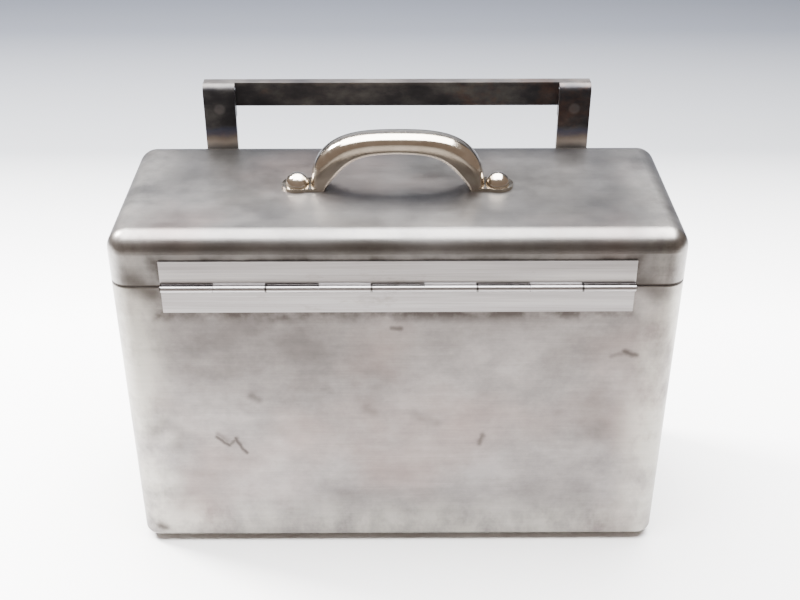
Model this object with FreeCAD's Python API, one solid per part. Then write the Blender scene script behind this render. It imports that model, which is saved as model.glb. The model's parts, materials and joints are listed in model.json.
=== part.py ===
import FreeCAD, Part
import math
import os

# Carry box with two cantilever trays.  Millimetres, +Z up, +X along the length.
# The hinge is on the -Y side, the catch and the upright frame are on the +Y side.
# The origin is the centre of the case's outline on the plane of the feet.

V = FreeCAD.Vector
X, Y, Z = V(1, 0, 0), V(0, 1, 0), V(0, 0, 1)

# ---- driving dimensions: case and lid ----
length = 330.0
depth = 128.0
case_height = 188.0
lid_height = 32.0
foot_height = 5.0
sheet = 1.2
edge_radius = 11.5
bottom_radius = 3.0
seam_gap = 0.5
cut_over = 1.0

# ---- piano hinge ----
hinge_length = 270.0
knuckle_count = 9
knuckle_gap = 0.3
leaf_height = 16.7
leaf_thickness = 1.0
barrel_radius = 2.15
barrel_wall_gap = 0.35
hinge_pin_radius = 1.1
running_fit = 0.05
leaf_relief = 0.15

# ---- bow handle ----
handle_screw_spacing = 120.0
handle_outer_line = ((52.2, 0.0), (50.6, 12.0), (45.6, 22.4), (36.5, 30.0), (20.0, 34.7), (0.0, 35.6))
handle_inner_line = ((43.0, 0.0), (37.2, 8.4), (30.8, 15.2), (23.2, 20.2), (12.5, 22.9), (0.0, 23.6))
handle_leg_room = 7.8
handle_width = 17.5
handle_foot_width = 16.0
crown_roundness = 2.3
underside_roundness = 5.0
handle_stations = 6
pad_radius = 9.4
pad_thickness = 2.0
dome_radius = 7.3
dome_height = 6.9
handle_screw_radius = 2.4
washer_radius = 7.0
washer_thickness = 1.2
nut_radius = 4.6
nut_height = 3.6
screw_overrun = 1.2

# ---- upright frame ----
frame_width = 246.0
frame_rise = 38.6
bar_width = 20.0
bar_thickness = 3.0
bend_radius = 5.0
lip_reach = 11.5
shim_thickness = 1.0
frame_foot_drop = 98.0
frame_top_clear = 3.0
crossbar_height = 15.5
crossbar_thickness = 6.5
tab_thickness = 4.0
tab_reach = 16.0
tab_drop = 7.0
tab_headroom = 2.3
plug_radius = 3.25
plug_drop = 16.0
frame_rivet_radius = 2.4
frame_rivet_drops = (20.0, 78.0)

# ---- rivets and heads ----
rivet_head_radius = 4.7
rivet_head_height = 1.8
tail_radius = 3.8
tail_height = 1.2

# ---- feet ----
foot_x = 115.0
foot_y = 42.0
foot_top_radius = 9.0
foot_bottom_radius = 8.2
foot_recess_radius = 4.5
foot_recess_depth = 2.6
foot_screw_radius = 1.9
foot_screw_head_radius = 3.6
foot_screw_head_height = 1.6
foot_nut_radius = 3.6
foot_nut_height = 2.6
foot_screw_overrun = 0.5

# ---- cantilever linkage, offsets from the hinge axis (+Y, +Z) ----
main_pivot_clear = 0.1
main_pivot_drop = 30.0
follower_offset = (8.5, -18.1)
link_overhang = 0.4
lid_stud_clear = 0.1
arm_rest_angle = -30.0
upper_arm = 70.0
lower_arm = 42.0
strap_half_width = 4.5
bracket_half_width = 4.4
pivot_radius = 2.0
stud_radius = 2.5
shoulder_radius = 3.2
stud_head_radius = 4.2
pivot_head_radius = 3.0
pivot_head_height = 0.6
head_gap = 0.3
arm_thickness = 1.5
link_thickness = 1.3
bracket_thickness = 1.2
layer_gap = 0.4
link_wall_gap = 1.5
lower_tray_inset = 1.0

# ---- trays ----
tray_sheet = 1.0
tray_corner = 4.0
hem_height = 4.0
hem_thickness = 0.8
divider_thickness = 1.0
divider_drop = 3.0
divider_end_gap = 0.3
upper_tray_back = 12.0
upper_tray_front_gap = 25.3
upper_tray_drop = 6.0
upper_tray_height = 40.0
upper_compartments = 4
lower_tray_back = 29.0
lower_tray_front_gap = 17.3
tray_spacing = 4.0
lower_tray_height = 40.0
lower_compartments = 3
bracket_overlap = 24.0

# ---- quarter-turn catch ----
catch_drop = 14.0
barrel_outer_radius = 7.0
barrel_flange_radius = 10.0
barrel_flange_thickness = 1.5
barrel_inner_length = 3.0
catch_nut_radius = 9.6
catch_nut_thickness = 2.3
spindle_radius = 3.0
knob_radius = 8.5
knob_length = 9.0
knob_gap = 0.3
grip_thickness = 4.0
cam_thickness = 1.8
cam_half_width = 4.0
cam_length = 18.0
cam_setback = 5.0
cam_screw_radius = 4.0
cam_screw_height = 1.2
cam_screw_shank = 1.4
cam_screw_depth = 3.0
strike_thickness = 1.5
strike_setback = 2.3
strike_inner = 11.5
strike_outer = 19.5
strike_pad_inner = -12.0
strike_pad_foot = 3.0
strike_pad_clear = 0.5
strike_lip_gap = 0.5
strike_lip_reach = 7.5

# ---- places worked out from the sizes above ----
case_top = foot_height + case_height
lid_top = case_top + lid_height
rim_z = case_top - seam_gap / 2
lid_rim_z = case_top + seam_gap / 2
inner_half = length / 2 - sheet
front_y = depth / 2
back_y = -depth / 2
hinge_y = back_y - barrel_radius - barrel_wall_gap
hinge_z = case_top
inner_front = front_y - sheet - hinge_y
lid_inner = lid_height - sheet


def block(x0, x1, y0, y1, z0, z1):
    """Box between two corners, in the part's own axes."""
    return Part.makeBox(x1 - x0, y1 - y0, z1 - z0, V(x0, y0, z0))


def rod(radius, start, axis, run):
    """Cylinder from a start point, along an axis."""
    return Part.makeCylinder(radius, run, start, axis)


def dome(radius, height, seat, axis):
    """Low domed head standing on a flat seat."""
    ball = (radius * radius + height * height) / (2 * height)
    centre = seat + axis * (height - ball)
    head = Part.makeSphere(ball, centre)
    return head.common(rod(radius * 1.5, seat, axis, height * 1.5))


def hexagon(across_corners_radius, height, seat, axis):
    """Hexagon nut blank standing on a flat seat."""
    blank = Part.Wire(Part.makePolygon([
        V(across_corners_radius * math.cos(math.radians(60 * k)),
          across_corners_radius * math.sin(math.radians(60 * k)), 0) for k in range(7)]))
    solid = Part.Face(blank).extrude(V(0, 0, height))
    turn = FreeCAD.Rotation(Z, axis)
    solid.Placement = FreeCAD.Placement(seat, turn)
    return solid


def upright_block(x0, x1, y0, y1, z0, z1, radius):
    """Block with only its upright edges rounded."""
    solid = block(x0, x1, y0, y1, z0, z1)
    return solid.makeFillet(radius, [e for e in solid.Edges if e.BoundBox.ZLength > 1e-6])


def domed_block(x0, x1, y0, y1, z0, z1, radius):
    """Block with its upright edges and its top rim rounded to one radius."""
    solid = block(x0, x1, y0, y1, z0, z1)
    return solid.makeFillet(radius, [e for e in solid.Edges if e.BoundBox.ZMax > z1 - 1e-6])


def soften_floor(solid, radius):
    """Rounds the lowest rim of a solid."""
    level = solid.BoundBox.ZMin
    return solid.makeFillet(radius, [e for e in solid.Edges if e.BoundBox.ZMax < level + 1e-6])


def from_hinge(offset, x=0.0):
    """Point in the part's axes, from an offset (+Y, +Z) to the hinge axis."""
    return V(x, hinge_y + offset[0], hinge_z + offset[1])


def plus(a, b):
    return (a[0] + b[0], a[1] + b[1])


def polar(radius, degrees):
    return (radius * math.cos(math.radians(degrees)), radius * math.sin(math.radians(degrees)))


def strap(a, b, half_width, x0, x1):
    """Flat strap with round ends between two pivots, lying in the plane of the box ends."""
    start = from_hinge(a, x0)
    end = from_hinge(b, x0)
    along = end - start
    run = along.Length
    along.normalize()
    across = X.cross(along)
    corners = [start + across * half_width, end + across * half_width,
               end - across * half_width, start - across * half_width]
    face = Part.Face(Part.makePolygon(corners + corners[:1]))
    body = face.extrude(V(x1 - x0, 0, 0))
    body = body.fuse(rod(half_width, start, X, x1 - x0))
    return body.fuse(rod(half_width, end, X, x1 - x0)).removeSplitter()


def bored(solid, pivots, radius, inner_face, outer_face):
    """The flat piece with a hole at each pivot."""
    holes = [rod(radius, from_hinge(p, inner_face - cut_over), X, outer_face - inner_face + 2 * cut_over)
             for p in pivots]
    return solid.cut(Part.makeCompound(holes))


def mirrored(solid):
    """The same piece at the other end of the box."""
    return solid.mirror(V(0, 0, 0), X)


def both(solid):
    return Part.makeCompound([solid, mirrored(solid)])


def save(name, shape):
    shape.exportStep("parts/" + name + ".step")


os.makedirs("parts", exist_ok=True)

# ---- pivots of the linkage at rest ----
# The arms turn with the lid: pivot, lid stud and the two tray pivots form exact parallelograms.
flat_back = back_y + edge_radius - hinge_y
flat_front = front_y - edge_radius - hinge_y
main_pivot = (flat_back + shoulder_radius + main_pivot_clear, -main_pivot_drop)
link_pivot_y = flat_front + link_overhang
lid_stud = (link_pivot_y - main_pivot[0], lid_height - edge_radius - stud_head_radius - lid_stud_clear)
follower_pivot = plus(main_pivot, follower_offset)
link_pivot = plus(main_pivot, lid_stud)
upper_main = plus(main_pivot, polar(upper_arm, arm_rest_angle))
lower_main = plus(main_pivot, polar(lower_arm, arm_rest_angle))
upper_follow = plus(upper_main, follower_offset)
lower_follow = plus(lower_main, follower_offset)

# ---- layers at one end of the box, from the end wall inwards ----
link_out = inner_half - link_wall_gap
link_in = link_out - link_thickness
arm_out = link_in - layer_gap
arm_in = arm_out - arm_thickness
bracket_out = arm_in - layer_gap
bracket_in = bracket_out - bracket_thickness
upper_half = bracket_in
lower_half = bracket_in - lower_tray_inset

# ---- heights of the trays ----
upper_top = -upper_tray_drop
upper_bottom = upper_top - upper_tray_height
lower_top = upper_bottom - tray_spacing
lower_bottom = lower_top - lower_tray_height
upper_tray_front = inner_front - upper_tray_front_gap
lower_tray_front = inner_front - lower_tray_front_gap

# ---- frame places ----
frame_face = front_y + shim_thickness
frame_back = frame_face + bar_thickness
frame_top = lid_top + frame_rise
frame_foot = case_top - frame_foot_drop
bar_outer = frame_width / 2
bar_inner = bar_outer - bar_width
bar_mid = bar_outer - bar_width / 2
lip_end = frame_face + lip_reach
frame_rivets_at = [case_top - drop for drop in frame_rivet_drops]

# ---- catch places ----
catch_axis = V(0, front_y, case_top - catch_drop)
strike_y1 = inner_front - strike_setback + hinge_y
strike_y0 = strike_y1 - strike_thickness
cam_y1 = front_y - sheet - cam_setback
cam_y0 = cam_y1 - cam_thickness


def make_body_shell():
    """Welded case: wide upright corners on a floor with a tight rim, drilled for what it carries."""
    half = length / 2
    outer = upright_block(-half, half, back_y, front_y, foot_height, rim_z, edge_radius)
    inner = upright_block(-inner_half, inner_half, back_y + sheet, front_y - sheet,
                          foot_height + sheet, case_top + cut_over, edge_radius - sheet)
    outer = soften_floor(outer, bottom_radius)
    inner = soften_floor(inner, bottom_radius - sheet)
    shell = outer.cut(inner)
    cuts = []
    for pivot in (main_pivot, follower_pivot):
        cuts.append(rod(stud_radius, from_hinge(pivot, -half - cut_over), X, length + 2 * cut_over))
    for z in frame_rivets_at:
        for x in (-bar_mid, bar_mid):
            cuts.append(rod(frame_rivet_radius, V(x, front_y - 2 * sheet, z), Y, 3 * sheet))
    for x in (-foot_x, foot_x):
        for y in (-foot_y, foot_y):
            cuts.append(rod(foot_screw_radius, V(x, y, foot_height - cut_over), Z, sheet + 2 * cut_over))
    cuts.append(rod(barrel_outer_radius, catch_axis - Y * (2 * sheet), Y, 3 * sheet))
    return shell.cut(Part.makeCompound(cuts))


def make_lid_shell():
    """Pressed lid: shallow cover with the same corners as the case."""
    half = length / 2
    outer = domed_block(-half, half, back_y, front_y, lid_rim_z, lid_top, edge_radius)
    inner = domed_block(-inner_half, inner_half, back_y + sheet, front_y - sheet,
                        case_top - edge_radius, lid_top - sheet, edge_radius - sheet)
    shell = outer.cut(inner)
    cuts = [rod(stud_radius, from_hinge(lid_stud, -half - cut_over), X, length + 2 * cut_over)]
    for side in (-1, 1):
        centre = V(side * handle_screw_spacing / 2, 0, lid_top - 2 * sheet)
        cuts.append(rod(handle_screw_radius, centre, Z, 3 * sheet))
    return shell.cut(Part.makeCompound(cuts))


def make_hinge_leaf(up):
    """One leaf of the piano hinge with its share of the knuckles; up is 1 for the lid, -1 for the case."""
    pitch = hinge_length / knuckle_count
    start = -hinge_length / 2
    wall = back_y - hinge_y
    edge = hinge_z + up * leaf_height
    reach = wall - leaf_thickness
    root = hinge_z + up * math.sqrt((barrel_radius + leaf_relief) ** 2 - reach ** 2)
    lows, highs = min(edge, root), max(edge, root)
    leaf = block(start, -start, hinge_y + reach, back_y, lows, highs)
    first = 1 if up > 0 else 0
    for k in range(first, knuckle_count, 2):
        x0 = start + k * pitch + (knuckle_gap / 2 if k > 0 else 0)
        x1 = start + (k + 1) * pitch - (knuckle_gap / 2 if k < knuckle_count - 1 else 0)
        low, high = min(hinge_z, root), max(hinge_z, root)
        web = block(x0, x1, hinge_y + reach, back_y, low, high)
        barrel = rod(barrel_radius, V(x0, hinge_y, hinge_z), X, x1 - x0)
        leaf = leaf.fuse(web).fuse(barrel)
    bore = rod(hinge_pin_radius + running_fit, V(start - cut_over, hinge_y, hinge_z), X,
               hinge_length + 2 * cut_over)
    return leaf.cut(bore).removeSplitter()


def make_hinge_pin():
    return rod(hinge_pin_radius, V(-hinge_length / 2, hinge_y, hinge_z), X, hinge_length)


def arch(half_line, shift):
    """Smooth curve over the whole bow through a half outline and its mirror image."""
    half = [V(x + shift, 0, z) for x, z in half_line[:-1]]
    crown = V(half_line[-1][0], 0, half_line[-1][1])
    points = half + [crown] + [V(-p.x, 0, p.z) for p in reversed(half)]
    curve = Part.BSplineCurve()
    curve.interpolate(points)
    return curve


def bow_section(outer, inner):
    """Closed outline of the bow between an outer and an inner point: domed outside, square underneath."""
    middle = (outer + inner) * 0.5
    reach = (outer - inner) * 0.5
    share = min(1.0, middle.z / handle_outer_line[-1][1] * 2)
    half_width = (handle_foot_width + (handle_width - handle_foot_width) * share) / 2
    points = []
    for k in range(24):
        a = math.radians(15 * k)
        ca, sa = math.cos(a), math.sin(a)
        power = 2 / (crown_roundness if ca >= 0 else underside_roundness)
        u = math.copysign(abs(ca) ** power, ca)
        v = math.copysign(abs(sa) ** power, sa)
        points.append(V(0, 0, lid_top) + middle + reach * u + Y * (half_width * v))
    curve = Part.BSplineCurve()
    curve.interpolate(Points=points, PeriodicFlag=True, Parameters=list(range(len(points) + 1)))
    return Part.Wire([curve.toShape()])


def make_handle_bow():
    """Cast bow handle: arched grip that runs down into two round screw pads."""
    shift = handle_screw_spacing / 2 - handle_leg_room - handle_outer_line[0][0]
    outer, inner = arch(handle_outer_line, shift), arch(handle_inner_line, shift)
    count = 2 * handle_stations
    sections = []
    for k in range(count + 1):
        share = k / count
        out_at = outer.value(outer.FirstParameter + share * (outer.LastParameter - outer.FirstParameter))
        in_at = inner.value(inner.FirstParameter + share * (inner.LastParameter - inner.FirstParameter))
        sections.append(bow_section(out_at, in_at))
    bow = Part.makeLoft(sections, True, False)
    half_leg = (handle_outer_line[0][0] - handle_inner_line[0][0]) / 2
    leg_x = handle_screw_spacing / 2 - handle_leg_room - half_leg
    half = handle_foot_width / 2
    for side in (-1, 1):
        pad_x = side * handle_screw_spacing / 2
        pad = rod(pad_radius, V(pad_x, 0, lid_top), Z, pad_thickness)
        x0, x1 = sorted((pad_x, side * leg_x))
        bow = bow.fuse(pad).fuse(block(x0, x1, -half, half, lid_top, lid_top + pad_thickness))
    holes = [rod(handle_screw_radius, V(s * handle_screw_spacing / 2, 0, lid_top - cut_over), Z,
                 pad_thickness + 2 * cut_over) for s in (-1, 1)]
    return bow.cut(Part.makeCompound(holes))


def make_handle_screw():
    seat = V(handle_screw_spacing / 2, 0, lid_top + pad_thickness)
    shank = pad_thickness + sheet + washer_thickness + nut_height + screw_overrun
    return dome(dome_radius, dome_height, seat, Z).fuse(rod(handle_screw_radius, seat, -Z, shank))


def make_handle_washer():
    seat = V(handle_screw_spacing / 2, 0, lid_top - sheet)
    hole = rod(handle_screw_radius, seat, -Z, washer_thickness)
    return rod(washer_radius, seat, -Z, washer_thickness).cut(hole)


def make_handle_nut():
    seat = V(handle_screw_spacing / 2, 0, lid_top - sheet - washer_thickness - nut_height)
    hole = rod(handle_screw_radius, seat, Z, nut_height)
    return hexagon(nut_radius, nut_height, seat, Z).cut(hole)


def make_frame_upright():
    """Flat bar riveted to the case front, its top bent back over the crossbar's end."""
    straight_top = frame_top - bend_radius
    upright = block(bar_inner, bar_outer, frame_face, frame_back, frame_foot, straight_top)
    lip = block(bar_inner, bar_outer, frame_face + bend_radius, lip_end,
                frame_top - bar_thickness, frame_top)
    centre = V(bar_inner, frame_face + bend_radius, straight_top)
    ring = rod(bend_radius, centre, X, bar_width)
    ring = ring.cut(rod(bend_radius - bar_thickness, centre, X, bar_width))
    corner = block(bar_inner, bar_outer, frame_face, frame_face + bend_radius, straight_top, frame_top)
    bar = upright.fuse(ring.common(corner)).fuse(lip).removeSplitter()
    start, run = frame_face - cut_over, bar_thickness + 2 * cut_over
    cuts = [rod(frame_rivet_radius, V(bar_mid, start, z), Y, run) for z in frame_rivets_at]
    cuts.append(rod(plug_radius, V(bar_mid, start, frame_top - plug_drop), Y, run))
    return bar.cut(Part.makeCompound(cuts))


def make_frame_crossbar():
    """Heavy bar between the uprights, with thin tabs that lie behind them under the bent lips."""
    bar = block(-bar_inner, bar_inner, lip_end - crossbar_thickness, lip_end,
                frame_top - crossbar_height, frame_top)
    tab_top = frame_top - bar_thickness - tab_headroom
    tab_bottom = frame_top - crossbar_height - tab_drop
    for side in (-1, 1):
        x0, x1 = sorted((side * bar_inner, side * (bar_inner + tab_reach)))
        bar = bar.fuse(block(x0, x1, frame_back, frame_back + tab_thickness, tab_bottom, tab_top))
        hole = V(side * bar_mid, frame_back - cut_over, frame_top - plug_drop)
        bar = bar.cut(rod(plug_radius, hole, Y, tab_thickness + 2 * cut_over))
    return bar.removeSplitter()


def make_frame_plug():
    start = V(bar_mid, frame_face, frame_top - plug_drop)
    return rod(plug_radius, start, Y, bar_thickness + tab_thickness)


def make_frame_shim():
    shim = block(bar_inner, bar_outer, front_y, frame_face, frame_foot, rim_z - frame_top_clear)
    holes = [rod(frame_rivet_radius, V(bar_mid, front_y - cut_over, z), Y, shim_thickness + 2 * cut_over)
             for z in frame_rivets_at]
    return shim.cut(Part.makeCompound(holes))


def make_frame_rivet(z):
    """Rivet through upright, shim and case wall: domed outside, formed tail inside."""
    grip = bar_thickness + shim_thickness + sheet
    seat = V(bar_mid, frame_back, z)
    head = dome(rivet_head_radius, rivet_head_height, seat, Y)
    tail = rod(tail_radius, V(bar_mid, front_y - sheet, z), -Y, tail_height)
    return head.fuse(rod(frame_rivet_radius, seat, -Y, grip)).fuse(tail)


def make_foot(x, y):
    foot = Part.makeCone(foot_bottom_radius, foot_top_radius, foot_height, V(x, y, 0), Z)
    recess = rod(foot_recess_radius, V(x, y, 0), Z, foot_recess_depth)
    hole = rod(foot_screw_radius, V(x, y, 0), Z, foot_height)
    return foot.cut(recess).cut(hole)


def make_foot_screw(x, y):
    seat = V(x, y, foot_recess_depth)
    head = rod(foot_screw_head_radius, seat, -Z, foot_screw_head_height)
    run = foot_height - foot_recess_depth + sheet + foot_nut_height + foot_screw_overrun
    return head.fuse(rod(foot_screw_radius, seat, Z, run))


def make_foot_nut(x, y):
    seat = V(x, y, foot_height + sheet)
    hole = rod(foot_screw_radius, seat, Z, foot_nut_height)
    return hexagon(foot_nut_radius, foot_nut_height, seat, Z).cut(hole)


def make_end_stud(offset, held_in, held_out):
    """Shouldered pivot set flush in an end wall; it holds a flat piece between held_in and held_out."""
    shoulder = rod(shoulder_radius, from_hinge(offset, held_out + head_gap), X,
                   inner_half - held_out - head_gap)
    head = rod(pivot_head_radius, from_hinge(offset, held_in - head_gap - pivot_head_height), X,
               pivot_head_height)
    shank = rod(pivot_radius, from_hinge(offset, held_in - head_gap), X, inner_half - held_in + head_gap)
    rivet = rod(stud_radius, from_hinge(offset, inner_half), X, sheet)
    return shank.fuse([shoulder, head, rivet])


def make_lid_stud():
    """Lid pivot for the drag link, riveted over on the outside with a low domed head."""
    outside = dome(stud_head_radius, rivet_head_height, from_hinge(lid_stud, length / 2), X)
    return make_end_stud(lid_stud, link_in, link_out).fuse(outside)


def make_main_arm():
    """Bell-crank arm: one strap carries both trays, the branch reaches up to the drag link."""
    arm = strap(main_pivot, upper_main, strap_half_width, arm_in, arm_out)
    branch = strap(lower_main, link_pivot, strap_half_width, arm_in, arm_out)
    arm = arm.fuse(branch).removeSplitter()
    arm = bored(arm, (main_pivot, upper_main, lower_main), pivot_radius + running_fit, arm_in, arm_out)
    return bored(arm, (link_pivot,), pivot_radius, arm_in, arm_out)


def make_follower_arm():
    arm = strap(follower_pivot, upper_follow, strap_half_width, arm_in, arm_out)
    pivots = (follower_pivot, upper_follow, lower_follow)
    return bored(arm, pivots, pivot_radius + running_fit, arm_in, arm_out)


def make_drag_link():
    link = strap(lid_stud, link_pivot, strap_half_width, link_in, link_out)
    return bored(link, (lid_stud, link_pivot), pivot_radius + running_fit, link_in, link_out)


def make_arm_link_rivet():
    """Rivet fixed in the tip of the main arm, on which the drag link turns."""
    start = arm_in - pivot_head_height
    end = link_out + head_gap
    shank = rod(pivot_radius, from_hinge(link_pivot, arm_in), X, end - arm_in)
    inner = rod(pivot_head_radius, from_hinge(link_pivot, start), X, pivot_head_height)
    outer = rod(pivot_head_radius, from_hinge(link_pivot, end), X, pivot_head_height)
    return shank.fuse([inner, outer])


def make_tray_pan(half, back, front, bottom, top):
    """Open pan with round corners and a folded hem along its rim."""
    y0, y1 = hinge_y + back, hinge_y + front
    z0, z1 = hinge_z + bottom, hinge_z + top
    outer = upright_block(-half, half, y0, y1, z0, z1, tray_corner)
    wall = tray_sheet + hem_thickness
    deep = upright_block(-half + tray_sheet, half - tray_sheet, y0 + tray_sheet, y1 - tray_sheet,
                         z0 + tray_sheet, z1 - hem_height, tray_corner - tray_sheet)
    mouth = upright_block(-half + wall, half - wall, y0 + wall, y1 - wall,
                          z0 + tray_sheet, z1 + cut_over, tray_corner - wall)
    return outer.cut(deep.fuse(mouth)).removeSplitter()


def make_tray_dividers(half, back, front, bottom, top, compartments):
    """Cross plates that stand on the pan's floor and part it into equal compartments."""
    wall = tray_sheet + hem_thickness + divider_end_gap
    inside = 2 * (half - tray_sheet)
    plates = []
    for k in range(1, compartments):
        x = -half + tray_sheet + inside * k / compartments
        plates.append(block(x - divider_thickness / 2, x + divider_thickness / 2,
                            hinge_y + back + wall, hinge_y + front - wall,
                            hinge_z + bottom + tray_sheet, hinge_z + top - divider_drop))
    return Part.makeCompound(plates)


def make_bracket(main, follow, top, inner_face, outer_face):
    """Flat hanger on a pan's end: carries both pivots and runs up the pan's wall."""
    plate = strap(main, follow, bracket_half_width, inner_face, outer_face)
    if top > main[1]:
        plate = plate.fuse(strap(main, (main[0], top), bracket_half_width, inner_face, outer_face))
    return bored(plate.removeSplitter(), (main, follow), pivot_radius, inner_face, outer_face)


def make_tray_rivet(pivot, inner_face):
    """Pivot rivet, flush on the pan's side, headed outside the arm."""
    end = arm_out + head_gap
    shank = rod(pivot_radius, from_hinge(pivot, inner_face), X, end - inner_face)
    return shank.fuse(rod(pivot_head_radius, from_hinge(pivot, end), X, pivot_head_height))


def make_catch_barrel():
    """Bushing through the case front, with a flange outside and a thread for its nut inside."""
    flange = rod(barrel_flange_radius, catch_axis, Y, barrel_flange_thickness)
    sleeve = rod(barrel_outer_radius, catch_axis, -Y, sheet + barrel_inner_length)
    bore = rod(spindle_radius + running_fit, catch_axis - Y * (sheet + barrel_inner_length + cut_over), Y,
               sheet + barrel_inner_length + barrel_flange_thickness + 2 * cut_over)
    return flange.fuse(sleeve).cut(bore)


def make_catch_nut():
    seat = catch_axis - Y * (sheet + catch_nut_thickness)
    hole = rod(barrel_outer_radius, seat, Y, catch_nut_thickness)
    return hexagon(catch_nut_radius, catch_nut_thickness, seat, Y).cut(hole)


def make_catch_knob():
    """Thumb knob with a raised grip bar, in one piece with its spindle."""
    face = catch_axis + Y * (barrel_flange_thickness + knob_gap)
    disc = rod(knob_radius, face, Y, knob_length / 2)
    bar = block(-grip_thickness / 2, grip_thickness / 2, face.y, face.y + knob_length,
                catch_axis.z - knob_radius, catch_axis.z + knob_radius)
    bar = bar.common(rod(knob_radius, face, Y, knob_length))
    spindle = rod(spindle_radius, face, -Y, face.y - cam_y0)
    thread = rod(cam_screw_shank, V(0, cam_y0, catch_axis.z), Y, cam_screw_depth)
    return disc.fuse([bar, spindle]).cut(thread)


def make_catch_cam():
    """Cam arm on the spindle; at rest it stands up, clear of the strike."""
    centre = V(0, cam_y0, catch_axis.z)
    hub = rod(spindle_radius * 2, centre, Y, cam_thickness)
    arm = block(-cam_half_width, cam_half_width, cam_y0, cam_y1, catch_axis.z, catch_axis.z + cam_length)
    return hub.fuse(arm).removeSplitter().cut(rod(spindle_radius, centre, Y, cam_thickness))


def make_cam_screw():
    seat = V(0, cam_y0, catch_axis.z)
    head = dome(cam_screw_radius, cam_screw_height, seat, -Y)
    return head.fuse(rod(cam_screw_shank, seat, Y, cam_screw_depth))


def make_lid_strike():
    """Strike inside the lid: pad on the front wall, joggled tongue and a lip that goes under the cam."""
    wall = front_y - sheet
    foot = case_top + strike_pad_foot
    pad_top = lid_top - edge_radius - strike_pad_clear
    pad = block(strike_pad_inner, strike_outer, wall - strike_thickness, wall, foot, pad_top)
    jog = block(strike_inner, strike_outer, strike_y0, wall, foot - strike_thickness, foot)
    lip_top = catch_axis.z - cam_half_width - strike_lip_gap
    tongue = block(strike_inner, strike_outer, strike_y0, strike_y1, lip_top - strike_thickness, foot)
    lip = block(strike_inner, strike_outer, strike_y1 - strike_lip_reach, strike_y1,
                lip_top - strike_thickness, lip_top)
    return pad.fuse([jog, tongue, lip]).removeSplitter()


feet = [(x, y) for x in (-foot_x, foot_x) for y in (-foot_y, foot_y)]
upper_pan = (upper_half, upper_tray_back, upper_tray_front, upper_bottom, upper_top)
lower_pan = (lower_half, lower_tray_back, lower_tray_front, lower_bottom, lower_top)
upper_bracket = make_bracket(upper_main, upper_follow, upper_bottom + bracket_overlap,
                             bracket_in, bracket_out)
lower_bracket = make_bracket(lower_main, lower_follow, lower_main[1], lower_half, bracket_out)

save("body_shell", make_body_shell())
save("lid_shell", make_lid_shell())
save("hinge_leaf_lower", make_hinge_leaf(-1))
save("hinge_leaf_upper", make_hinge_leaf(1))
save("hinge_pin", make_hinge_pin())
save("handle_bow", make_handle_bow())
save("handle_screws", both(make_handle_screw()))
save("handle_washers", both(make_handle_washer()))
save("handle_nuts", both(make_handle_nut()))
save("frame_upright_right", make_frame_upright())
save("frame_upright_left", mirrored(make_frame_upright()))
save("frame_crossbar", make_frame_crossbar())
save("frame_plug_rivets", both(make_frame_plug()))
save("frame_shims", both(make_frame_shim()))
save("frame_rivets", Part.makeCompound([both(make_frame_rivet(z)) for z in frame_rivets_at]))
save("rubber_feet", Part.makeCompound([make_foot(x, y) for x, y in feet]))
save("foot_screws", Part.makeCompound([make_foot_screw(x, y) for x, y in feet]))
save("foot_nuts", Part.makeCompound([make_foot_nut(x, y) for x, y in feet]))
save("arm_studs", Part.makeCompound([both(make_end_stud(p, arm_in, arm_out))
                                     for p in (main_pivot, follower_pivot)]))
save("lid_link_studs", both(make_lid_stud()))
save("main_arm_right", make_main_arm())
save("main_arm_left", mirrored(make_main_arm()))
save("follower_arm_right", make_follower_arm())
save("follower_arm_left", mirrored(make_follower_arm()))
save("drag_link_right", make_drag_link())
save("drag_link_left", mirrored(make_drag_link()))
save("arm_link_rivets", both(make_arm_link_rivet()))
save("upper_tray_pan", make_tray_pan(*upper_pan))
save("upper_tray_dividers", make_tray_dividers(*upper_pan, upper_compartments))
save("upper_bracket_right", upper_bracket)
save("upper_bracket_left", mirrored(upper_bracket))
save("upper_tray_rivets", Part.makeCompound([both(make_tray_rivet(p, bracket_in))
                                             for p in (upper_main, upper_follow)]))
save("lower_tray_pan", make_tray_pan(*lower_pan))
save("lower_tray_dividers", make_tray_dividers(*lower_pan, lower_compartments))
save("lower_bracket_right", lower_bracket)
save("lower_bracket_left", mirrored(lower_bracket))
save("lower_tray_rivets", Part.makeCompound([both(make_tray_rivet(p, lower_half))
                                             for p in (lower_main, lower_follow)]))
save("catch_barrel", make_catch_barrel())
save("catch_nut", make_catch_nut())
save("catch_knob", make_catch_knob())
save("catch_cam", make_catch_cam())
save("cam_screw", make_cam_screw())
save("lid_strike", make_lid_strike())
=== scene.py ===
import json
import math

import bpy
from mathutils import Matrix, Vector


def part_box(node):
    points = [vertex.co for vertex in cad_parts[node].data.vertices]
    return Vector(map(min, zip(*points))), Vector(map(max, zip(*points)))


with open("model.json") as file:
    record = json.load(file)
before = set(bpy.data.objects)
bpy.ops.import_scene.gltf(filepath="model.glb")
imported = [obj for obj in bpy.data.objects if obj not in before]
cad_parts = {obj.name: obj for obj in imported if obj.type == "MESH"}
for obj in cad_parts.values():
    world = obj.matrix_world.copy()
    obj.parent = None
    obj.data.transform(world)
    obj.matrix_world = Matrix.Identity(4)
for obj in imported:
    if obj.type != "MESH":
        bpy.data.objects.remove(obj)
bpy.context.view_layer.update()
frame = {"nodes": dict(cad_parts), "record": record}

MM = 0.001
knuckles = 9
slot_offset = 2.35 * MM  # from the hinge axis to the painted shade line beside the knuckles
plug_radius = 3.25 * MM

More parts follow.
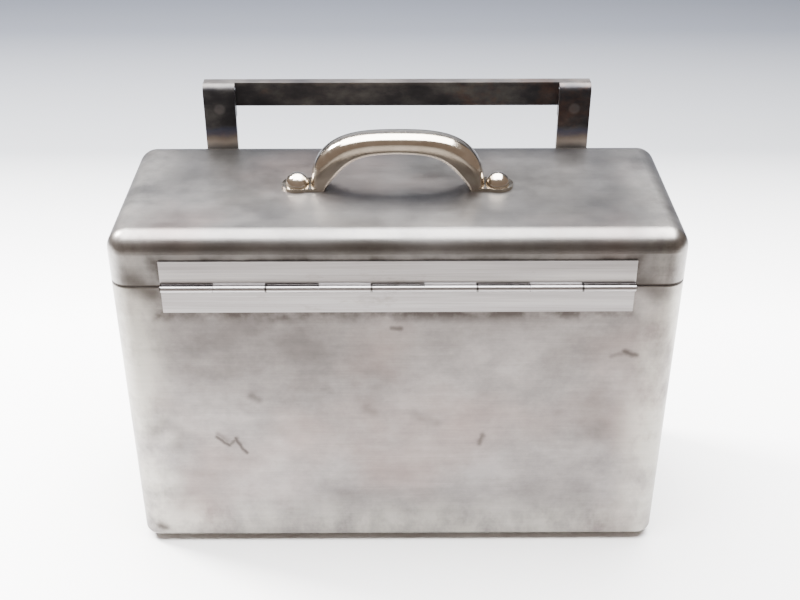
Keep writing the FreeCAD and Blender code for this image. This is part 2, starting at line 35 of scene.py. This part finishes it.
# ---- places read from the frame ----
case_low, case_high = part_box("body_shell")
lid_low, lid_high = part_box("lid_shell")
lower_leaf_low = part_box("hinge_leaf_lower")[0]
upper_leaf_low, upper_leaf_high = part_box("hinge_leaf_upper")
bar_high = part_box("frame_crossbar")[1]
plug_low, plug_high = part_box("frame_plug_rivets")
lid_top = lid_high.z
hinge_z = (lower_leaf_low.z + upper_leaf_high.z) / 2


# ---------------------------------------------------------------- materials

def linear(hex_colour):
    """sRGB hex colour, such as "#B9B4AE", as linear RGBA."""
    parts = [int(hex_colour[k:k + 2], 16) / 255 for k in (1, 3, 5)]
    return [c / 12.92 if c <= 0.04045 else ((c + 0.055) / 1.055) ** 2.4 for c in parts] + [1.0]


def plug(tree, node, inputs):
    """Sets each named input to a value, or links it when given a socket."""
    for socket, value in inputs.items():
        if isinstance(value, bpy.types.NodeSocket):
            tree.links.new(value, node.inputs[socket])
        elif isinstance(value, str):
            node.inputs[socket].default_value = linear(value)
        else:
            node.inputs[socket].default_value = value


def put(tree, kind, inputs=None, out=0, stops=None, **settings):
    """Adds one node with its settings, ramp stops, values and links; gives back one output."""
    node = tree.nodes.new("ShaderNode" + kind)
    for name, value in settings.items():
        setattr(node, name, value)
    plug(tree, node, inputs or {})
    if stops:
        elements = node.color_ramp.elements
        while len(elements) < len(stops):
            elements.new(0.5)
        for element, (place, shade) in zip(elements, stops):
            element.position, element.color = place, linear(shade)
    return node.outputs[out]


def new_material(name):
    """Empty material with its main shader plugged in, and its position on the piece as a socket."""
    material = bpy.data.materials.new(name)
    material.use_nodes = True
    tree = material.node_tree
    tree.nodes.clear()
    shader = tree.nodes.new("ShaderNodeBsdfPrincipled")
    plug(tree, tree.nodes.new("ShaderNodeOutputMaterial"), {"Surface": shader.outputs["BSDF"]})
    where = put(tree, "TexCoord", out="Object")
    return material, tree, shader, where


def clouds(tree, where, feature_mm, detail=4.0, roughness=0.55, stretch=(1, 1, 1), shift=(0, 0, 0), low=0.0,
           high=1.0):
    """Cloudy value from 0 to 1 with features of about this size, its contrast cut between low and high."""
    moved = put(tree, "Mapping", {"Vector": where, "Scale": stretch, "Location": shift})
    noise = put(tree, "TexNoise", {"Vector": moved, "Scale": 1000.0 / feature_mm, "Detail": detail,
                                   "Roughness": roughness})
    return put(tree, "MapRange", {"Value": noise, "From Min": low, "From Max": high})


def blend(tree, factor, a, b, kind="MIX"):
    """Colour a turning into colour b as the factor rises."""
    return put(tree, "Mix", {"Factor": factor, "A": a, "B": b}, out="Result", data_type="RGBA",
               blend_type=kind)


def stroke(tree, flat, start, end, width_mm, strength):
    """Mask of one scratch or smudge between two points (x, z) in millimetres, soft towards its sides."""
    a = Vector((start[0], 0, start[1])) * MM
    run = Vector((end[0], 0, end[1])) * MM - a
    rel = put(tree, "VectorMath", {0: flat, 1: a}, operation="SUBTRACT")
    share = put(tree, "VectorMath", {0: rel, 1: run / run.length_squared}, out="Value",
                operation="DOT_PRODUCT")
    held = put(tree, "MapRange", {"Value": share})
    back = put(tree, "VectorMath", {0: run, "Scale": held}, operation="SCALE")
    off = put(tree, "VectorMath", {0: rel, 1: back}, out="Value", operation="DISTANCE")
    return put(tree, "MapRange", {"Value": off, "From Min": 0.0, "From Max": width_mm * MM,
                                  "To Min": strength, "To Max": 0.0}, interpolation_type="SMOOTHSTEP")


def box_edge(tree, flat, half_x, low_z, high_z):
    """How far a point, seen along Y, lies outside a rectangle, in metres; negative inside."""
    middle = Vector((0, 0, (low_z + high_z) / 2))
    rel = put(tree, "VectorMath", {0: put(tree, "VectorMath", {0: flat, 1: middle}, operation="SUBTRACT")},
              operation="ABSOLUTE")
    past = put(tree, "VectorMath", {0: rel, 1: Vector((half_x, 0, (high_z - low_z) / 2))},
               operation="SUBTRACT")
    split = put(tree, "SeparateXYZ", {0: past}, out="X").node
    return put(tree, "Math", {0: split.outputs["X"], 1: split.outputs["Z"]}, operation="MAXIMUM")


def sheet_steel(name, tones, cloudy, edge_sheen_and_wear_tone, dirt_and_shade_tone, rough, seed, marks):
    """Bare cold-rolled sheet, rubbed down by hand and handled since: a satin grey that breaks into pale
    and dull clouds, paler along the rounded side and bottom edges where painted reflection of the bright
    floor mixes with rubbed wear, and browner round the hinge and along the seam where painted shade mixes
    with oil and dust."""
    material, tree, shader, where = new_material(name)
    flat = put(tree, "VectorMath", {0: where, 1: (1, 0, 1)}, operation="MULTIPLY")
    wobble = put(tree, "TexNoise", {"Vector": where, "Scale": 1000 / 5, "Detail": 4}, out="Color")
    shaken = put(tree, "VectorMath", {0: wobble, 1: (0.003, 0.0, 0.003), 2: flat}, operation="MULTIPLY_ADD")
    # wide handling clouds, then smaller ones over them
    wide = clouds(tree, where, 85, 9, 0.66, (1, 1, 1.2), (seed, 0, 0), 0.35, 0.65)
    colour = put(tree, "ValToRGB", {"Fac": wide}, stops=tones)
    small = clouds(tree, where, 24, 9, 0.7, (0.8, 1, 1), (0, seed, 0), 0.33, 0.67)
    mottle = put(tree, "ValToRGB", {"Fac": small},
                 stops=[(0.0, "#6A6562"), (0.5, "#BCBAB8"), (1.0, "#EDEAE5")])
    colour = blend(tree, cloudy, colour, mottle, "OVERLAY")
    rosy = clouds(tree, where, 95, 3, 0.5, (1, 1, 1), (3, seed, 1), 0.5, 0.7)
    colour = blend(tree, put(tree, "Math", {0: rosy, 1: 0.5}, operation="MULTIPLY"), colour, "#74645F")
    # pale bands along the rounded side and bottom edges: painted reflection of the surroundings and the
    # bright floor, broken up in patches like rubbed wear
    split = put(tree, "SeparateXYZ", {0: where}).node
    side = put(tree, "Math", {0: split.outputs["X"]}, operation="ABSOLUTE")
    side_band = put(tree, "MapRange", {"Value": side, "From Min": 0.128, "From Max": 0.158},
                    interpolation_type="SMOOTHSTEP")
    low_band = put(tree, "MapRange", {"Value": split.outputs["Z"], "From Min": 0.045, "From Max": 0.012,
                                      "To Min": 0.0, "To Max": 0.8}, interpolation_type="SMOOTHSTEP")
    bands = put(tree, "Math", {0: side_band, 1: low_band}, operation="MAXIMUM")
    patchy = clouds(tree, where, 26, 5, 0.65, (1, 1, 0.6), (seed, 4, 0), 0.36, 0.6)
    rubbed = put(tree, "Math", {0: bands, 1: patchy}, operation="MULTIPLY")
    colour = blend(tree, put(tree, "Math", {0: rubbed, 1: 0.75}, operation="MULTIPLY"), colour, edge_sheen_and_wear_tone)
    # fine rubbing lines along the length, coarser than real grit lines so that they show
    lines = clouds(tree, where, 0.9, 4, 0.7, (0.02, 1, 1), (0, 0, seed), 0.3, 0.7)
    strokes = clouds(tree, where, 5, 4, 0.6, (0.06, 0.6, 1), (0, seed, 0), 0.35, 0.65)
    shade = put(tree, "MapRange", {"Value": put(tree, "Math", {0: lines, 1: strokes}, operation="ADD"),
                                   "From Min": 0.2, "From Max": 1.8, "To Min": 0.92, "To Max": 1.07})
    colour = put(tree, "VectorMath", {0: colour, 1: shade}, operation="MULTIPLY")
    # grime round the hinge and along the seam, mixed with painted shade: the dark ring round the raised
    # hinge leaves and the dark band along the seam also stand in for the shadow at their edges
    beyond = box_edge(tree, shaken, upper_leaf_high.x, lower_leaf_low.z, upper_leaf_high.z)
    hinge_shade_and_grime = put(tree, "MapRange", {"Value": beyond, "From Min": 0.0, "From Max": 9 * MM,
                                  "To Min": 0.75, "To Max": 0.0}, interpolation_type="SMOOTHSTEP")
    patches = clouds(tree, where, 20, 4, 0.6, shift=(9, 0, 0), low=0.35, high=0.6)
    hinge_shade_and_grime = put(tree, "Math", {0: hinge_shade_and_grime, 1: patches}, operation="MULTIPLY")
    ends = stroke(tree, shaken, (-150, 199), (-139, 190), 13, 0.75)
    ends = put(tree, "Math", {0: ends, 1: stroke(tree, shaken, (139, 197), (150, 190), 11, 0.6)},
               operation="MAXIMUM")
    rear = put(tree, "MapRange", {"Value": split.outputs["Y"], "From Min": case_low.y + 14 * MM,
                                  "From Max": case_low.y + 3 * MM})
    dirt_and_painted_shade = put(tree, "Math", {0: put(tree, "Math", {0: hinge_shade_and_grime, 1: ends}, operation="MAXIMUM"), 1: rear},
               operation="MULTIPLY")
    seam = put(tree, "Math", {0: split.outputs["Z"], 1: (case_high.z + lid_low.z) / 2, 2: 1.1 * MM},
               operation="COMPARE")
    dirt_and_painted_shade = put(tree, "Math", {0: put(tree, "Math", {0: seam, 1: 0.85}, operation="MULTIPLY"), 1: dirt_and_painted_shade},
               operation="MAXIMUM")
    for start, end, width, strength in marks:
        one = stroke(tree, shaken, start, end, width, strength)
        one = put(tree, "Math", {0: one, 1: rear}, operation="MULTIPLY")
        dirt_and_painted_shade = put(tree, "Math", {0: dirt_and_painted_shade, 1: one}, operation="MAXIMUM")
    # one dark tone for grime, stains, scratches and the painted shade round the hinge and along the seam
    colour = blend(tree, dirt_and_painted_shade, colour, dirt_and_shade_tone)
    patch = clouds(tree, where, 45, 5, 0.6, (1, 1, 1), (2, 4, seed), 0.3, 0.7)
    rougher = put(tree, "Math", {0: dirt_and_painted_shade, 1: 0.18, 2: put(tree, "MapRange", {
        "Value": patch, "To Min": rough[0], "To Max": rough[1]})}, operation="MULTIPLY_ADD")
    wave = clouds(tree, where, 70, 1, 0.5, shift=(1, 7, seed))
    relief = put(tree, "Math", {0: wave, 1: 14.0, 2: lines}, operation="MULTIPLY_ADD")
    grain = clouds(tree, where, 1.2, 3, 0.6)
    relief = put(tree, "Math", {0: grain, 1: 1.2, 2: relief}, operation="MULTIPLY_ADD")
    normal = put(tree, "Bump", {"Height": relief, "Strength": 0.4, "Distance": 0.00003})
    plug(tree, shader, {"Base Color": colour, "Metallic": 1.0, "Roughness": rougher, "Normal": normal})
    return material


def hinge_strip():
    """Cold-rolled steel strip straight from the rolls: pale and tight-grained, with long fine draw lines
    that stretch the light along the hinge and a few darker spots; painted shade darkens the gaps beside the
    knuckles."""
    material, tree, shader, where = new_material("rolled_hinge_strip")
    lines = clouds(tree, where, 0.8, 5, 0.7, (0.01, 1, 1), low=0.3, high=0.7)
    bands = clouds(tree, where, 6, 3, 0.5, (0.04, 1, 1), low=0.3, high=0.7)
    spots = clouds(tree, where, 12, 5, 0.65, (0.5, 1, 1), (6, 0, 0), 0.6, 0.75)
    both = put(tree, "Math", {0: lines, 1: bands}, operation="ADD")
    colour = put(tree, "ValToRGB", {"Fac": put(tree, "MapRange", {"Value": both, "From Max": 2.0})},
                 stops=[(0.1, "#858283"), (0.6, "#9D9B9C"), (1.0, "#AFADAD")])
    colour = blend(tree, put(tree, "Math", {0: spots, 1: 0.5}, operation="MULTIPLY"), colour, "#6F6862")
    # painted shade in the gaps: a dark line in the slot beside each knuckle, above one leaf's and below the
    # other's in turn, and in the joints between knuckles, standing in for their shadow
    split = put(tree, "SeparateXYZ", {0: where}).node
    pitch = (upper_leaf_high.x - upper_leaf_low.x) / knuckles
    turn = put(tree, "Math", {0: split.outputs["X"], 1: upper_leaf_low.x}, operation="SUBTRACT")
    turn = put(tree, "Math", {0: turn, 1: pitch}, operation="DIVIDE")
    count = put(tree, "Math", {0: turn}, operation="FLOOR")
    odd = put(tree, "Math", {0: count, 1: 2.0}, operation="MODULO")
    level = put(tree, "MapRange", {"Value": odd, "To Min": hinge_z + slot_offset,
                                   "To Max": hinge_z - slot_offset})
    slot = put(tree, "Math", {0: split.outputs["Z"], 1: level, 2: 0.42 * MM}, operation="COMPARE")
    depth = put(tree, "MapRange", {"Value": odd, "To Min": 0.85, "To Max": 0.25})
    slot = put(tree, "Math", {0: slot, 1: depth}, operation="MULTIPLY")
    to_joint = put(tree, "Math", {0: turn, 1: 1.0}, operation="PINGPONG")
    joint = put(tree, "MapRange", {"Value": to_joint, "From Min": 0.012, "From Max": 0.026, "To Min": 0.85,
                                   "To Max": 0.0})
    near = put(tree, "Math", {0: split.outputs["Z"], 1: hinge_z, 2: 2.8 * MM}, operation="COMPARE")
    joint = put(tree, "Math", {0: joint, 1: near}, operation="MULTIPLY")
    dirt_and_painted_shade = put(tree, "Math", {0: slot, 1: joint}, operation="MAXIMUM")
    # painted shade colour for the slots and joints
    colour = blend(tree, dirt_and_painted_shade, colour, "#241F1C")
    normal = put(tree, "Bump", {"Height": lines, "Strength": 0.3, "Distance": 0.00003})
    plug(tree, shader, {"Base Color": colour, "Metallic": 1.0, "Roughness": 0.33, "Normal": normal})
    return material


def nickel_plate():
    """Bright nickel over a buffed casting: near mirror, a little warm, with faint wiping haze."""
    material, tree, shader, where = new_material("polished_nickel_plate")
    haze = clouds(tree, where, 14, 3, 0.5, low=0.3, high=0.7)
    colour = blend(tree, haze, "#C9C1B5", "#B5AB9D")
    fine = clouds(tree, where, 3, 3, 0.6, low=0.3, high=0.7)
    rough = put(tree, "MapRange", {"Value": fine, "To Min": 0.12, "To Max": 0.2})
    normal = put(tree, "Bump", {"Height": haze, "Strength": 0.25, "Distance": 0.0001})
    plug(tree, shader, {"Base Color": colour, "Metallic": 1.0, "Roughness": rough, "Normal": normal})
    return material


def mill_scale_bar():
    """Hot-rolled flat bar with its mill scale on: dark grey, half metallic, rubbed brighter where the bends
    stand proud, tinted straw and blue low down where it was warmed, with a first bloom of rust."""
    material, tree, shader, where = new_material("hot_rolled_bar_mill_scale")
    scale = clouds(tree, where, 24, 6, 0.65, (0.6, 1, 1), low=0.32, high=0.68)
    colour = put(tree, "ValToRGB", {"Fac": scale},
                 stops=[(0.0, "#242327"), (0.5, "#353436"), (1.0, "#504E4D")])
    split = put(tree, "SeparateXYZ", {0: where}).node
    # rust comes through towards one end of the bar
    rust_at = clouds(tree, where, 26, 5, 0.7, (0.8, 1, 1), (4, 1, 0))
    toward = put(tree, "MapRange", {"Value": split.outputs["X"], "From Min": -0.02, "From Max": bar_high.x,
                                    "To Max": 0.14})
    rust = put(tree, "MapRange", {"Value": put(tree, "Math", {0: rust_at, 1: toward}, operation="ADD"),
                                  "From Min": 0.6, "From Max": 0.85, "To Max": 0.45})
    colour = blend(tree, rust, colour, "#6A4A38")
    # faint heat tint just above the lid
    wander = clouds(tree, where, 14, 3, 0.5)
    lifted = put(tree, "Math", {0: wander, 1: 7 * MM, 2: split.outputs["Z"]}, operation="MULTIPLY_ADD")
    climb = put(tree, "MapRange", {"Value": lifted, "From Min": lid_top - 1 * MM,
                                   "From Max": lid_top + 15 * MM})
    tint = put(tree, "ValToRGB", {"Fac": climb},
               stops=[(0.0, "#77736F"), (0.3, "#8B7F74"), (0.5, "#75695F"),
                      (0.66, "#55505C"), (0.82, "#474B5E"), (1.0, "#55545A")])
    fade = put(tree, "MapRange", {"Value": climb, "From Min": 0.8, "From Max": 1.0,
                                  "To Min": 0.6, "To Max": 0.0})
    colour = blend(tree, fade, colour, tint)
    # plug rivets dressed flush: a faint paler disc on each post
    for side in (-1, 1):
        centre = Vector((side * (plug_high.x - plug_radius), 0, (plug_low.z + plug_high.z) / 2))
        flat = put(tree, "VectorMath", {0: where, 1: (1, 0, 1)}, operation="MULTIPLY")
        away = put(tree, "VectorMath", {0: flat, 1: centre}, out="Value", operation="DISTANCE")
        disc = put(tree, "MapRange", {"Value": away, "From Min": 2.6 * MM, "From Max": 4.2 * MM,
                                      "To Min": 0.2, "To Max": 0.0})
        colour = blend(tree, disc, colour, "#8D8886")
    # bends and top edges rubbed bright
    top = put(tree, "MapRange", {"Value": lifted, "From Min": bar_high.z + 1 * MM,
                                 "From Max": bar_high.z + 6 * MM, "To Max": 0.35})
    colour = blend(tree, top, colour, "#7D756F")
    rough = put(tree, "MapRange", {"Value": scale, "To Min": 0.36, "To Max": 0.5})
    pits = clouds(tree, where, 1.8, 4, 0.6)
    normal = put(tree, "Bump", {"Height": pits, "Strength": 0.3, "Distance": 0.00006})
    plug(tree, shader, {"Base Color": colour, "Metallic": 0.85, "Roughness": rough, "Normal": normal})
    return material


def zinc_plate():
    """Zinc plated steel: cool, slightly bluish satin, clouded where the passivation is uneven."""
    material, tree, shader, where = new_material("zinc_plated_steel")
    cloud = clouds(tree, where, 9, 4, 0.55, low=0.3, high=0.7)
    colour = blend(tree, cloud, "#AFB4BB", "#D2D0C6")
    rough = put(tree, "MapRange", {"Value": cloud, "To Min": 0.26, "To Max": 0.4})
    fine = clouds(tree, where, 0.8, 2, 0.5)
    normal = put(tree, "Bump", {"Height": fine, "Strength": 0.2, "Distance": 0.00003})
    plug(tree, shader, {"Base Color": colour, "Metallic": 1.0, "Roughness": rough, "Normal": normal})
    return material


def galvanised_sheet():
    """Hot-dip galvanised sheet: zinc crystals a few millimetres wide, each leaning its own way, so the
    satin grey breaks into soft flakes."""
    material, tree, shader, where = new_material("galvanised_tray_sheet")
    wobble = put(tree, "TexNoise", {"Vector": where, "Scale": 1000 / 8, "Detail": 2}, out="Color")
    bent = put(tree, "VectorMath", {0: wobble, 1: (0.004, 0.004, 0.004), 2: where}, operation="MULTIPLY_ADD")
    flake = put(tree, "TexVoronoi", {"Vector": bent, "Scale": 1000 / 7}, out="Color")
    grey = put(tree, "SeparateColor", {0: flake}).node
    colour = blend(tree, grey.outputs[0], "#A3A6A9", "#C6C8C9")
    rough = put(tree, "MapRange", {"Value": grey.outputs[1], "To Min": 0.28, "To Max": 0.46})
    normal = put(tree, "Bump", {"Height": grey.outputs[2], "Strength": 0.12, "Distance": 0.00003})
    plug(tree, shader, {"Base Color": colour, "Metallic": 1.0, "Roughness": rough, "Normal": normal})
    return material


def moulded_rubber():
    """Moulded black rubber: matt, dusty grey on its shoulders, with a fine moulded grain."""
    material, tree, shader, where = new_material("moulded_black_rubber")
    dust = clouds(tree, where, 6, 4, 0.6, low=0.3, high=0.7)
    grain = clouds(tree, where, 0.8, 2, 0.5)
    normal = put(tree, "Bump", {"Height": grain, "Strength": 0.4, "Distance": 0.00005})
    plug(tree, shader, {"Base Color": blend(tree, dust, "#1B1B1C", "#343230"), "Roughness": 0.7,
                        "Normal": normal})
    return material


# scratches and smudges on the hinge side of the case: ends (x, z) in mm, width in mm, strength
case_marks = [
    ((-110, 87), (-103, 80.5), 2.2, 0.7),
    ((-103, 80.5), (-97.5, 85.5), 1.8, 0.55),
    ((-98.5, 86), (-93, 74.5), 2.1, 0.7),
    ((-109, 89), (-104, 84), 3.4, 0.35),
    ((-87, 118), (-83, 115), 4.2, 0.4),
    ((53.5, 88), (51.5, 81), 3.0, 0.5),
    ((135, 149), (142, 146.5), 3.4, 0.65),
    ((128, 146), (134, 148), 3.0, 0.35),
    ((-152, 15), (-149, 13.5), 4.5, 0.75),
    ((-147, 92), (-141, 96), 9.0, 0.28),
    ((-141, 96), (-132, 90), 9.0, 0.28),
    ((-132, 90), (-135, 81), 9.0, 0.24),
    ((-18, 109), (-13, 105), 6.0, 0.25),
    ((12, 103), (24, 98), 7.0, 0.2),
    ((-2, 166), (3, 165.6), 2.6, 0.55),
    ((60, 118), (78, 122), 18.0, 0.14),
    ((-60, 150), (-20, 152), 12.0, 0.12),
    ((118, 118), (126, 90), 20.0, 0.18),
]

finishes = {
    "case_steel": sheet_steel("case_sheet_steel",
                              tones=[(0.0, "#5C5857"), (0.45, "#6B6766"), (1.0, "#7B7776")], cloudy=0.26,
                              edge_sheen_and_wear_tone="#A5A29A", dirt_and_shade_tone="#2C2622", rough=(0.34, 0.46), seed=1.0,
                              marks=case_marks),
    "lid_steel": sheet_steel("lid_sheet_steel",
                             tones=[(0.0, "#5A5856"), (0.5, "#656362"), (1.0, "#706E6D")], cloudy=0.16,
                             edge_sheen_and_wear_tone="#94918D", dirt_and_shade_tone="#2A2420", rough=(0.28, 0.4), seed=6.0, marks=[]),
    "hinge_steel": hinge_strip(),
    "frame_steel": mill_scale_bar(),
    "nickel": nickel_plate(),
    "zinc": zinc_plate(),
    "tray_steel": galvanised_sheet(),
    "rubber": moulded_rubber(),
}

for row in frame["record"]["subparts"]:
    part = frame["nodes"][row["node"]]
    part.data.materials.clear()
    part.data.materials.append(finishes[row["material_slot"]])


# ---------------------------------------------------------------- stage, light and camera

def graded_paper():
    """Matt background paper with painted shade: white under the box, darker in front of it, and shaded to a
    cool grey as it runs back and up, standing in for the fall-off of light.
    """
    material, tree, shader, where = new_material("graded_background_paper")
    split = put(tree, "SeparateXYZ", {0: where}).node
    back = put(tree, "MapRange", {"Value": split.outputs["Y"], "From Min": -0.85, "From Max": 1.65})
    # painted shade along the paper: dark in front of the box, white under it, darker and cooler towards the
    # back and top
    colour = put(tree, "ValToRGB", {"Fac": back},
                 stops=[(0.0, "#5E5955"), (0.18, "#85807B"), (0.29, "#FBFBFB"), (0.42, "#F6F6F7"),
                        (0.56, "#838589"), (0.72, "#4C4F57"), (0.8, "#3E4149"), (0.95, "#5A5D64")])
    plug(tree, shader, {"Base Color": colour, "Roughness": 0.9, "Specular IOR Level": 0.2})
    return material


def make_sweep():
    """Seamless paper: flat under the box, then curving up behind it."""
    run, rise, bend, half = 2.2, 2.2, 0.5, 2.2
    bpy.ops.object.select_all(action="DESELECT")
    bpy.ops.mesh.primitive_plane_add(size=1, location=(0, 0, 0))
    sweep = bpy.context.object
    sweep.name = "paper_sweep"
    corners = [(-half, -run), (half, -run), (-half, 1.1), (half, 1.1)]
    for vertex, (x, y) in zip(sweep.data.vertices, corners):
        vertex.co = (x, y, 0)
    bpy.ops.object.mode_set(mode="EDIT")
    bpy.ops.mesh.select_mode(type="EDGE")
    bpy.ops.mesh.select_all(action="DESELECT")
    bpy.ops.object.mode_set(mode="OBJECT")
    for edge in sweep.data.edges:
        ends = [sweep.data.vertices[k].co.y for k in edge.vertices]
        edge.select = min(ends) > 1.0
    bpy.ops.object.mode_set(mode="EDIT")
    steps = 12
    for k in range(steps):
        a0, a1 = math.pi / 2 * k / steps, math.pi / 2 * (k + 1) / steps
        shift = (0, bend * (math.sin(a1) - math.sin(a0)), bend * (math.cos(a0) - math.cos(a1)))
        bpy.ops.mesh.extrude_region_move(TRANSFORM_OT_translate={"value": shift})
    bpy.ops.mesh.extrude_region_move(TRANSFORM_OT_translate={"value": (0, 0, rise - bend)})
    bpy.ops.object.mode_set(mode="OBJECT")
    bpy.ops.object.shade_smooth()
    sweep.data.materials.append(graded_paper())


def add_softbox(name, place, aim, width, height, power, colour):
    """Rectangular lamp at one place, turned to face another."""
    data = bpy.data.lights.new(name, "AREA")
    data.shape, data.size, data.size_y = "RECTANGLE", width, height
    data.energy, data.color = power, linear(colour)[:3]
    lamp = bpy.data.objects.new(name, data)
    lamp.location = place
    lamp.rotation_euler = (Vector(aim) - Vector(place)).to_track_quat("-Z", "Y").to_euler()
    bpy.context.scene.collection.objects.link(lamp)


def make_camera():
    """Camera above the hinge side, looking down on the lid at about thirty-one degrees."""
    data = bpy.data.cameras.new("camera")
    data.sensor_width, data.lens = 36.0, 53.9
    data.clip_start, data.clip_end = 0.02, 20.0
    camera = bpy.data.objects.new("camera", data)
    camera.location = (-0.0022, -0.6502, 0.5408)
    camera.rotation_euler = (math.radians(90 - 31.343), 0.0, math.radians(-0.321))
    bpy.context.scene.collection.objects.link(camera)
    bpy.context.scene.camera = camera


make_sweep()
make_camera()
add_softbox("overhead_softbox", (0, 0.28, 1.5), (0, 0.28, 0), 1.8, 1.75, 250, "#FFFFFF")
add_softbox("left_key", (-1.1, 0.45, 1.3), (0, 0, 0.1), 0.4, 0.4, 130, "#FFFDFA")
world = bpy.data.worlds.new("room")
world.use_nodes = True
world.node_tree.nodes["Background"].inputs["Color"].default_value = linear("#7F7268")
world.node_tree.nodes["Background"].inputs["Strength"].default_value = 1.9
bpy.context.scene.world = world
